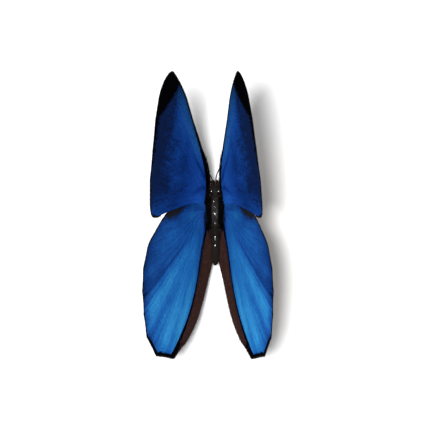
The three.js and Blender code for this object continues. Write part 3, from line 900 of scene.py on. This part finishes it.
def bodyColourNodes(tree):
    # the markings that the skin and its coat share: dark back, near-black flanks, browner below
    place = addNode(tree, "Attribute", attribute_name="place").outputs["Vector"]
    x, y, z = addNode(tree, "SeparateXYZ", {"Vector": place}).outputs
    aside = addNode(tree, "Math", [x], operation="ABSOLUTE")
    colour = linear(bodyColours["back"])
    for name, value, start, full in (("flank", aside, 0.8, 1.25),
                                     ("abdomen", y, bodyShift - 3.4, bodyShift - 4.6),
                                     ("under", z, 8.3, 7.0)):
        mask = addNode(tree, "MapRange", {"Value": value, "From Min": start, "From Max": full},
                       interpolation_type="SMOOTHSTEP")
        colour = addNode(tree, "Mix", {0: mask, 6: colour, 7: linear(bodyColours[name])},
                         data_type="RGBA").outputs[2]
    blotches = addNode(tree, "TexNoise", {"Vector": place, "Scale": 2.2, "Detail": 4})
    tone = addNode(tree, "MapRange", {"Value": blotches, "From Min": 0.3, "From Max": 0.7,
                                      "To Min": 0.7, "To Max": 1.35})
    return addNode(tree, "VectorMath", {0: colour, "Scale": tone}, operation="SCALE").outputs[0], place


def skinMaterial():
    # body armour of an insect: hardened chitin, black and glossy, finely wrinkled and pitted
    material, tree, shader = newMaterial("blackChitin")
    colour, place = bodyColourNodes(tree)
    pits = addNode(tree, "TexVoronoi", {"Vector": place, "Scale": 9})
    wrinkles = addNode(tree, "TexNoise", {"Vector": place, "Scale": 5, "Detail": 5})
    height = addNode(tree, "Math", (pits, 0.5, wrinkles), operation="MULTIPLY_ADD")
    bump = addNode(tree, "Bump", {"Strength": 0.35, "Distance": 0.00004, "Height": height})
    bare = addNode(tree, "Attribute", attribute_name="bare").outputs["Fac"]
    coated = addNode(tree, "MapRange", {"Value": wrinkles, "To Min": 0.6, "To Max": 0.85})
    rough = addNode(tree, "Mix", {0: bare, 2: coated, 3: 0.14}, data_type="FLOAT")
    setInputs(tree, shader, {"Base Color": colour, "Roughness": rough, "IOR": 1.56, "Normal": bump})
    return material


def bristleMaterial():
    # setae: hollow chitin hairs and flat scales, dull along their length with a slight shine
    material, tree, shader = newMaterial("darkBristle")
    colour, place = bodyColourNodes(tree)
    tip = addNode(tree, "Attribute", attribute_name="tip").outputs["Fac"]
    paler = addNode(tree, "MapRange", {"Value": tip, "To Min": 0.7, "To Max": bodyColours["hairTip"]})
    strand = addNode(tree, "TexWhiteNoise", {"Vector": place}, noise_dimensions="3D")
    each = addNode(tree, "MapRange", {"Value": strand, "To Min": 0.65, "To Max": 1.35})
    level = addNode(tree, "Math", (paler, each), operation="MULTIPLY")
    shaded = addNode(tree, "VectorMath", {0: colour, "Scale": level}, operation="SCALE")
    setInputs(tree, shader, {"Base Color": shaded, "Roughness": 0.6, "Specular IOR Level": 0.06})
    return material


def eyeMaterial():
    # compound eye: clear domed lenses of chitin over dark pigment, glossy one by one and satin as a whole;
    # a lens is about 0.03 wide, drawn three times as coarse to show
    material, tree, shader = newMaterial("compoundEyeLens")
    place = addNode(tree, "Attribute", attribute_name="place").outputs["Vector"]
    lenses = addNode(tree, "TexVoronoi", {"Vector": place, "Scale": 11, "Randomness": 0.25})
    bands = addNode(tree, "TexNoise", {"Vector": place, "Scale": 1.6, "Detail": 2})
    height = addNode(tree, "SeparateXYZ", {"Vector": place}).outputs["Z"]
    lower = addNode(tree, "MapRange", {"Value": height, "From Min": 9.4, "From Max": 7.2,
                                       "To Min": 0.0, "To Max": 0.6})
    depth = addNode(tree, "Math", (bands, 0.5, lower), operation="MULTIPLY_ADD")
    amber = setStops(addNode(tree, "ValToRGB", {"Fac": depth}), eye["pigment"])
    dome = addNode(tree, "Math", (lenses, lenses), operation="MULTIPLY")
    bump = addNode(tree, "Bump", {"Strength": 1.0, "Distance": 0.000014, "Height": dome}, invert=True)
    setInputs(tree, shader, {"Base Color": amber, "Roughness": 0.19, "IOR": 1.6, "Normal": bump})
    return material


def limbMaterial(name, dark, light, rings=0.0, gloss=0.34, shine=0.3):
    # thin chitin of legs, feelers and tongue: translucent brown, smooth with fine rings
    material, tree, shader = newMaterial(name)
    part = addNode(tree, "Attribute", attribute_name="part").outputs["Fac"]
    place = addNode(tree, "Attribute", attribute_name="place").outputs["Vector"]
    height = addNode(tree, "TexNoise", {"Vector": place, "Scale": 3.5, "Detail": 5})
    colour = setStops(addNode(tree, "ValToRGB", {"Fac": height}), [(0.3, dark), (0.7, light)])
    if rings:
        turns = addNode(tree, "Math", (part, rings * 2 * math.pi), operation="MULTIPLY")
        wave = addNode(tree, "Math", [turns], operation="SINE")
        tone = addNode(tree, "MapRange", {"Value": wave, "From Min": -1, "To Min": 0.72, "To Max": 1.2})
        colour = addNode(tree, "VectorMath", {0: colour, "Scale": tone}, operation="SCALE")
        height = addNode(tree, "Math", (wave, 0.6, height), operation="MULTIPLY_ADD")
    bump = addNode(tree, "Bump", {"Strength": 0.4, "Distance": 0.00003, "Height": height})
    setInputs(tree, shader, {"Base Color": colour, "Roughness": gloss, "Specular IOR Level": shine,
                             "IOR": 1.55, "Normal": bump})
    return material


darkBristle = bristleMaterial()
skin = buildSkin(skinMaterial())
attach(skin, "root")
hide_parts("thorax", "abdomen", "head", "palp_right", "palp_left")
print("skin", len(skin.data.polygons), "faces")


# coats of the body

eye = {
    "centre": (1.2, 8.35, 8.3), "radii": (1.17, 1.3, 1.34),
    "clear": (1.248, 1.3728, 1.4144),    # half sizes of the space about it that hairs keep out of
    "pigment": [(0.25, "#070403"), (0.5, "#1e0f09"), (0.8, "#4a2816")],
}


def fromMiddle(places):
    # across and along from the middle of the body
    return places[:, 0], places[:, 1] - bodyShift


def bodyCoat(name, count, density, lieAt, look, scaleAt=None):
    # density, lieAt and scaleAt tell how thick the coat is at each place, how it lies and how long it is
    def weight(places, normals):
        x, y = fromMiddle(places)
        away = (np.stack([np.abs(x), y, places[:, 2]], 1) - eye["centre"]) / eye["clear"]
        return density(x, y, normals) * (np.linalg.norm(away, axis=1) >= 1)

    places, normals = scatterOn(skin, count, weight)
    x, y = fromMiddle(places)
    if scaleAt:
        look = dict(look, scale=scaleAt(x, normals))
    unwrapped = bodyUnwrap(places)
    piece = tuftPiece(name, places, normals, lieAt(x, y, normals), look, unwrapped, darkBristle)
    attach(piece, "root")
    print("coat", name, count, "tufts")


def combed(aside, ahead, up):
    # a lie that is the same all over, but mirrored from side to side
    return lambda x, y, normals: np.stack([aside * np.sign(x), ahead + 0 * x, up + 0 * x], 1)


def backwards(x, y, normals):
    return np.stack([0.25 * np.sign(x) * smoothStep(np.abs(x), 0.2, 1.5), -1 + 0 * x, -0.1 + 0 * x], 1)


def forwards(x, y, normals):
    return np.stack([0.1 * x, 1 + 0 * x, 0.55 * smoothStep(-normals[:, 2], -0.6, 0.4)], 1)


# bare places on the back: centre and half sizes
polished = [(0.05, 0.9, 0.46, 0.7), (0.12, 3.0, 0.2, 0.28), (-0.35, 5.0, 0.28, 0.32), (0, -2.2, 0.35, 0.3),
            (0.15, -7.1, 0.36, 0.6), (-0.1, -9.6, 0.24, 0.3), (0.1, 9.95, 0.26, 0.3)]


def coated(x, y, normals):
    # 0 on the polished places and 1 elsewhere
    away = np.min([((x - cx) / rx) ** 2 + ((y - cy) / ry) ** 2 for cx, cy, rx, ry in polished], axis=0)
    return smoothStep(away, 0.8, 2.2) * (normals[:, 2] > 0) + (normals[:, 2] <= 0)


def thoraxDensity(x, y, normals):
    return (y < 6.9) * (y > -4.1) * (1.3 + 0.5 * smoothStep(np.abs(x), 0.9, 1.5)) * coated(x, y, normals)


skinNormals = pointValues(skin.data, "normal")
addField(skin.data, "bare", 1 - coated(*fromMiddle(pointValues(skin.data, "co") / mm), skinNormals))

# lengths and widths in millimetres, lift from the skin, stray and bend in degrees
longHair = {"length": 1.6, "width": 0.036, "lift": 24, "stray": 20, "bend": 16}
bodyCoat("thorax_hair", 13500, thoraxDensity, backwards,
         {"length": 1.15, "width": 0.034, "lift": 26, "stray": 18, "bend": 14},
         lambda x, n: 0.42 + 0.78 * smoothStep(np.abs(x), 0.8, 1.5) + 0.2 * (n[:, 2] < -0.2))
bodyCoat("collar_hair", 1700, lambda x, y, n: (y > 4.8) & (y < 7.4) & (np.abs(x) > 0.6) & (n[:, 2] > -0.5),
         combed(0.9, 0.8, 0.1), longHair)
bodyCoat("cheek_hair", 1500, lambda x, y, n: (y > 9.8) & (y < 11.4) & (np.abs(x) > 0.4) & (n[:, 2] > -0.6),
         combed(1, 0.45, 0.2), dict(longHair, length=1.2))
bodyCoat("waist_hair", 2600, lambda x, y, n: (y > -6.4) & (y < -2.2) & (np.abs(x) > 0.35) & (n[:, 2] > -0.7),
         combed(0.75, -1, -0.15), longHair)
bodyCoat("head_hair", 5600, lambda x, y, n: (y >= 6.6) * (y < 10.6) * coated(x, y, n), forwards,
         {"length": 0.55, "width": 0.03, "lift": 40, "stray": 26, "bend": 10},
         lambda x, n: 0.55 + 0.9 * smoothStep(np.abs(x), 0.4, 0.9))
bodyCoat("palp_scales", 2600, lambda x, y, n: (y > 10.2) & (np.abs(x) > 0.25), combed(0, 0.5, 1),
         {"length": 0.3, "width": 0.045, "lift": 18, "stray": 14, "flat": 0.35, "ring": (0.6, 1.1)})
bodyCoat("abdomen_scales", 10000, lambda x, y, n: (y < -3.9) * coated(x, y, n), backwards,
         {"length": 0.36, "width": 0.06, "lift": 11, "stray": 12, "bend": 4, "flat": 0.25,
          "ring": (0.62, 1.15)},
         lambda x, n: 0.55 + 0.45 * smoothStep(n[:, 1], -0.75, -0.35))


# coats of the wings: fringes round the margins, long hairs at the roots and on the inner fields

wingCoats = {
    "fringe": {"label": "fringe", "spacing": 0.1, "rows": (0.0, 0.16), "root": "#080606", "tip": "#2a2320",
               "look": {"length": 0.5, "width": 0.075, "lift": 4, "stray": 9, "bend": 3, "flat": 0.3,
                        "ring": (0.6, 1.2)}},
    # "area" is two corners, each out and along
    "rootHair": {"label": "root_hair", "root": "#050404", "tip": "#14100e",
                 "count": {"forewing": 2400, "hindwing": 700},
                 "area": {"forewing": ((-1.2, -2), (18, 17)), "hindwing": ((-6, -13), (0.4, -2))},
                 "look": {"length": 1.35, "width": 0.034, "lift": 27, "stray": 20, "bend": 16}},
    "innerHair": {"label": "inner_hair", "root": "#2c1b19", "tip": "#54372f",
                  "count": 3200, "area": ((-6, -53), (17, -6)),
                  "look": {"length": 1.3, "width": 0.036, "lift": 13, "stray": 14, "bend": 8}},
    "underHair": {"label": "under_hair", "root": "#2c1f16", "tip": "#6b5238",
                  "count": 1600, "area": ((-6, -12), (12, 12)),
                  "look": {"length": 1.1, "width": 0.034, "lift": 14, "stray": 12, "bend": 8}},
}


def wingBristleMaterial(name, rootColour, tipColour):
    # hairs and fringe scales of the wings: thin pigmented chitin, matt
    material, tree, shader = newMaterial(name)
    place = addNode(tree, "Attribute", attribute_name="place").outputs["Vector"]
    tip = addNode(tree, "Attribute", attribute_name="tip").outputs["Fac"]
    colour = addNode(tree, "Mix", {0: tip, 6: linear(rootColour), 7: linear(tipColour)}, data_type="RGBA")
    strand = addNode(tree, "TexWhiteNoise", {"Vector": place}, noise_dimensions="3D")
    tufts = addNode(tree, "TexNoise", {"Vector": place, "Scale": 0.8, "Detail": 2})
    each = addNode(tree, "MapRange", {"Value": strand, "To Min": 0.65, "To Max": 1.4})
    tone = addNode(tree, "MapRange", {"Value": tufts, "From Min": 0.3, "From Max": 0.7,
                                      "To Min": 0.75, "To Max": 1.25})
    level = addNode(tree, "Math", (each, tone), operation="MULTIPLY")
    shaded = addNode(tree, "VectorMath", {0: colour.outputs[2], "Scale": level}, operation="SCALE")
    setInputs(tree, shader, {"Base Color": shaded, "Roughness": 0.65, "Specular IOR Level": 0.05})
    return material


coatMaterials = {kind: wingBristleMaterial(f"{kind}Chitin", coat["root"], coat["tip"])
                 for kind, coat in wingCoats.items()}


def wingCoat(kind, wing, side, places, lie):
    coat, under = wingCoats[kind], kind == "underHair"

    def onWing(spots):
        return wingToSpace(wing, spots[:, 0], spots[:, 1], wingSurface(wing, spots)[1 if under else 0])

    roots, step = onWing(places), 0.1
    run = (onWing(places + step * lie) - roots) / step
    normals = np.cross(onWing(places + (step, 0)) - roots, onWing(places + (0, step)) - roots)
    normals *= np.where(normals[:, :1] > 0, -1, 1) * (-1 if under else 1)
    normals /= np.linalg.norm(normals, axis=1)[:, None]
    if side == "left":
        roots, run, normals = [v * (-1, 1, 1) for v in (roots, run, normals)]
    name = f"{wing['name']}_{coat['label']}_{side}"
    unwrapped = wingUnwrap(wing, places, under)
    piece = tuftPiece(name, roots, normals, run, coat["look"], unwrapped, coatMaterials[kind])
    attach(piece, "root")
    print("coat", name, len(places), "tufts")


def pickOnWing(wing, count, area, weightAt, inset=0.5):
    # random places on the wing between two corners, more of them where weightAt is higher
    spots = random.uniform(*area, (count * 24, 2))
    spots = spots[insideOf(spots, wingOutline(wing, inset)[0])]
    kept = random.uniform(0, 1, len(spots)) < weightAt(spots)
    return spots[kept][:count]


def forewingRootWeight(spots, spread):
    out, along = spots.T
    root = bell(np.hypot(out + 0.4, along - 1.4), 0, 2.2 * spread)
    front = stretchGap(forewing, spots, "front")
    return np.maximum(bell(front, 0, 1.1 * spread) * (1 - smoothStep(out, 8, 18)), root)


def hindwingRootWeight(spots, spread):
    out, along = spots.T
    return bell(np.hypot(out + 2.2, along + 6), 0, 2.2 * spread)


def innerFieldWeight(spots):
    out, along = spots.T
    return smoothStep(divideLine(along) - out, 1.0, 1.6) * (1 - 0.5 * smoothStep(-along, 30, 50))


def underRootWeight(wing, spots):
    out, along = spots.T
    edgeGap = gapTo(spots, wingOutline(wing)[0])
    return bell(np.hypot(out, along + 1), 0, 4.6) * smoothStep(edgeGap, 1.0, 3.4)


fringe, rootHair, innerHair, underHair = wingCoats.values()
for wing in (forewing, hindwing):
    for side in ("right", "left"):
        edges, outwards = [], []
        for inset in fringe["rows"]:
            edge, spans, normals = wingOutline(wing, membrane["inset"] + inset, fringe["spacing"])
            # the forewing's rear edge has a fringe only near its outer corner
            kept = (wing is hindwing) | (spans < wing["rear"][0] + 1) | (edge[:, 0] > 44)
            edges.append(edge[kept])
            outwards.append(-normals[kept])
        wingCoat("fringe", wing, side, np.vstack(edges), np.vstack(outwards))

        spread = 0.45 + 0.55 * rootBlack[side]
        weightAt = forewingRootWeight if wing is forewing else hindwingRootWeight
        count, area = int(rootHair["count"][wing["name"]] * spread), rootHair["area"][wing["name"]]
        places = pickOnWing(wing, count, area, lambda spots: weightAt(spots, spread))
        lie = np.stack([0.9 + 0 * places[:, 0], 0.5 + 0.1 * places[:, 1]], 1)
        wingCoat("rootHair", wing, side, places, lie)

        places = pickOnWing(wing, underHair["count"], underHair["area"],
                            lambda spots: underRootWeight(wing, spots), 0.9)
        wingCoat("underHair", wing, side, places, places + (3, 0.1))
for side in ("right", "left"):
    places = pickOnWing(hindwing, innerHair["count"], innerHair["area"], innerFieldWeight)
    edgeward = np.exp(-gapTo(places, wingOutline(hindwing)[0]) / 1.2)
    wingCoat("innerHair", hindwing, side, places, np.stack([0.12 - 1.1 * edgeward, -1 + 0 * edgeward], 1))


# eyes, feelers, tongue and legs

def limbPiece(name, side, shapes, material, node):
    if side == "left":
        shapes = [mirrored(shape) for shape in shapes]
    points, faces = joinShapes(shapes)
    piece = makePiece(name, points + (0, bodyShift, 0), faces, [material])
    addField(piece.data, "place", pointValues(piece.data, "co") / mm)
    parts = [shape[2] if len(shape) > 2 else np.zeros(len(shape[0])) for shape in shapes]
    addField(piece.data, "part", np.concatenate(parts))
    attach(piece, "root")
    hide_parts(node)


antenna = {
    "base": (0.4, 9.5, 9.5), "spread": {"right": 16, "left": 29},
    "route": [(0, 0, -0.25), (-0.3, 0.9, 0.35), (-0.95, 3.4, 1.3), (-0.85, 5.2, 2), (-0.55, 6.9, 2.6),
              (0.1, 12.4, 4.5), (2, 19.8, 6.8), (4.4, 26.2, 8.1)],
    "radius": [(0, 0.3), (0.012, 0.34), (0.03, 0.3), (0.04, 0.2), (0.3, 0.18), (0.78, 0.19), (0.88, 0.3),
               (0.95, 0.36), (0.985, 0.26), (1, 0.04)],
    "segments": 42,
}
proboscis = {"radius": [(0, 0.09), (0.3, 0.14), (1, 0.24)], "forward": 10.4, "height": 5.62,
             "inner": 0.25, "pitch": 0.66, "turns": 1.75, "steps": 14, "rings": 95}
legs = {
    "midleg": [(1.1, 2.9, 6.7), (2, 3.3, 4.9), (4.4, 4.6, 5.7), (7.4, 6.2, 6.5), (8.9, 7.8, 3.5),
               (10.1, 9.2, 0.6), (11, 10.3, 0.2), (12.6, 12.6, 0.19)],
    "hindleg": [(1, -1, 6.8), (1.9, -1.8, 4.9), (4.3, -4.3, 5.6), (6.9, -7.2, 6.3), (8.2, -10.2, 3.4),
                (9.3, -12.9, 0.6), (10.1, -14.5, 0.2), (11.4, -17.2, 0.19)],
    "foreleg": [(0.95, 4.6, 6.6), (1.6, 5.8, 5), (1.75, 7.6, 4.8), (1.6, 8.8, 5.2), (1.4, 9.6, 5.8)],
    # radius against part of the leg's length: hip, thigh, knee, shin, ankle, five foot joints
    "radius": [(0, 0.5), (0.06, 0.44), (0.1, 0.28), (0.14, 0.33), (0.26, 0.36), (0.38, 0.29), (0.425, 0.24),
               (0.45, 0.26), (0.5, 0.22), (0.7, 0.2), (0.765, 0.23), (0.785, 0.15), (0.8, 0.19), (0.86, 0.2),
               (0.872, 0.14), (0.885, 0.19), (0.912, 0.19), (0.922, 0.14), (0.932, 0.19), (0.955, 0.19),
               (0.964, 0.14), (0.973, 0.18), (1, 0.15)],
    "forelegRadius": [(0, 0.4), (0.12, 0.24), (0.3, 0.27), (0.5, 0.2), (0.55, 0.22), (0.8, 0.16), (1, 0.06)],
}


def radiusFrom(table):
    return lambda part: float(np.interp(part, *zip(*table)))


def feelerRadius(part):
    # thinner between its segments
    joint = (part * antenna["segments"]) % 1
    neck = 1 - smoothStep(min(joint, 1 - joint), 0, 0.16)
    return np.interp(part, *zip(*antenna["radius"])) * (1 - 0.16 * neck * (part > 0.04))


def claws(route):
    toe, before = np.array(route[-1]), np.array(route[-2])
    ahead = (toe - before) / np.linalg.norm(toe - before)
    across = np.array((-ahead[1], ahead[0], 0))
    hook = ((-0.05, 0.06, 0.02), (0.2, 0.2, 0.1), (0.4, 0.24, -0.04), (0.46, 0.22, -0.16))
    return [tube([toe + far * ahead + sign * wide * across + (0, 0, up) for far, wide, up in hook],
                 lambda part: 0.07 * (1 - 0.85 * part), 8, 0.06) for sign in (-1, 1)]


def spines(route):
    # three rows down the shin and the foot
    line, _, _ = smoothCurve(route, False, 0.1)
    shapes = []
    for i in range(int(len(line) * 0.46), int(len(line) * 0.97), 3):
        run = line[min(i + 1, len(line) - 1)] - line[i - 1]
        run /= np.linalg.norm(run)
        sideways = np.cross(run, (0, 0, 1))
        sideways /= np.linalg.norm(sideways)
        for spin in (0.7, 2.4, 4.1):
            outward = math.cos(spin + 0.3 * (i % 2)) * sideways + math.sin(spin) * np.cross(sideways, run)
            start = line[i] + 0.12 * outward
            tip = start + 0.28 * outward + 0.26 * run
            tip[2] = max(tip[2], 0.03)
            shapes.append(tube([start, tip], lambda part: 0.035 * (1 - 0.8 * part), 5, 0.2))
    return shapes


eyeLens = eyeMaterial()
antennaChitin = limbMaterial("antennaChitin", "#080504", "#1c120c", antenna["segments"], 0.5, 0.08)
legChitin = limbMaterial("legChitin", "#140e0b", "#35261b")
tongueChitin = limbMaterial("tongueChitin", "#2a160b", "#5c3517", proboscis["rings"])

for side in ("right", "left"):
    ball = ellipsoid(eye["centre"], eye["radii"], 44, 64)
    limbPiece(f"eye_lens_{side}", side, [ball], eyeLens, f"eye_{side}")

    points, faces, parts = tube(antenna["route"], feelerRadius, 12, 0.09)
    turn = np.array(Matrix.Rotation(-math.radians(antenna["spread"][side]), 3, "Z"))
    feeler = (points @ turn.T + antenna["base"], faces, parts)
    limbPiece(f"antenna_ringed_{side}", side, [feeler], antennaChitin, f"antenna_{side}")

    for legName in ("midleg", "hindleg", "foreleg"):
        walking = legName != "foreleg"
        shape = tube(legs[legName], radiusFrom(legs["radius" if walking else "forelegRadius"]), 14, 0.1)
        shape[0][:, 2] = np.maximum(shape[0][:, 2], 0)    # flat where it stands on the ground
        shapes = [shape] + (claws(legs[legName]) + spines(legs[legName]) if walking else [])
        limbPiece(f"{legName}_jointed_{side}", side, shapes, legChitin, f"{legName}_{side}")

coil = []
for step in range(int(proboscis["steps"] * proboscis["turns"]) + 1):
    turned = step / proboscis["steps"]
    reach = proboscis["inner"] + proboscis["pitch"] * turned
    angle = 2 * math.pi * (turned - proboscis["turns"]) + math.pi / 2
    coil.append((0, proboscis["forward"] - reach * math.cos(angle),
                 proboscis["height"] + reach * math.sin(angle)))
tongue = tube(coil, radiusFrom(proboscis["radius"]), 14, 0.07)
limbPiece("proboscis_coiled", "middle", [tongue], tongueChitin, "proboscis")
print("eyes, feelers, legs and tongue ready")


# ground, lights and camera

studio = {
    "cameraTilt": 2.8, "cameraDistance": 700, "widthAtBody": 142.57, "aside": 0.33, "ahead": 0.165,
    "keyTilt": 3.0, "keyDistance": 1.1, "keySize": 0.17, "keyPower": 14,
    "worldStrength": 0.42,
    "ground": "#f4f4f4", "groundReach": 3000,
}

# backdrop: smooth white paper, matt, that takes the soft shadow
paper, tree, shader = newMaterial("whitePaper")
setInputs(tree, shader, {"Base Color": linear(studio["ground"]), "Roughness": 0.9,
                         "Specular IOR Level": 0.0})
far = studio["groundReach"]
ground = makePiece("ground", [(-far, -far, 0), (far, -far, 0), (far, far, 0), (-far, far, 0)],
                   [(0, 1, 2, 3)], [paper], smooth=False)

world = bpy.data.worlds.new("softRoom")
bpy.context.scene.world = world
world.use_nodes = True
setInputs(world.node_tree, world.node_tree.nodes["Background"],
          {"Color": (1, 1, 1, 1), "Strength": studio["worldStrength"]})

bodyLevel = Vector((0, bodyShift, hinge[2])) * mm
keyAngle = math.radians(studio["keyTilt"])
keyPlace = bodyLevel + studio["keyDistance"] * Vector((-math.sin(keyAngle), -0.005, math.cos(keyAngle)))
keyData = bpy.data.lights.new("keyLight", "AREA")
keyData.shape = "DISK"
keyData.size = studio["keySize"]
keyData.energy = studio["keyPower"]
keyLight = bpy.data.objects.new("keyLight", keyData)
keyLight.location = keyPlace
keyLight.rotation_euler = (keyPlace - bodyLevel).to_track_quat("Z", "Y").to_euler()
bpy.context.scene.collection.objects.link(keyLight)

tilt = math.radians(studio["cameraTilt"])
axis = Vector((math.sin(tilt), 0, math.cos(tilt)))
sideways = Vector((math.cos(tilt), 0, -math.sin(tilt)))
cameraData = bpy.data.cameras.new("camera")
cameraData.sensor_width = 36
cameraData.lens = 36 * studio["cameraDistance"] / studio["widthAtBody"]
cameraData.clip_end = 20
camera = bpy.data.objects.new("camera", cameraData)
camera.location = (bodyLevel + axis * studio["cameraDistance"] * mm + sideways * studio["aside"] * mm
                   + Vector((0, studio["ahead"] * mm, 0)))
camera.rotation_euler = Matrix((sideways, (0, 1, 0), axis)).transposed().to_euler()
bpy.context.scene.collection.objects.link(camera)
bpy.context.scene.camera = camera
bpy.context.scene.view_settings.view_transform = "Standard"
print("studio ready")
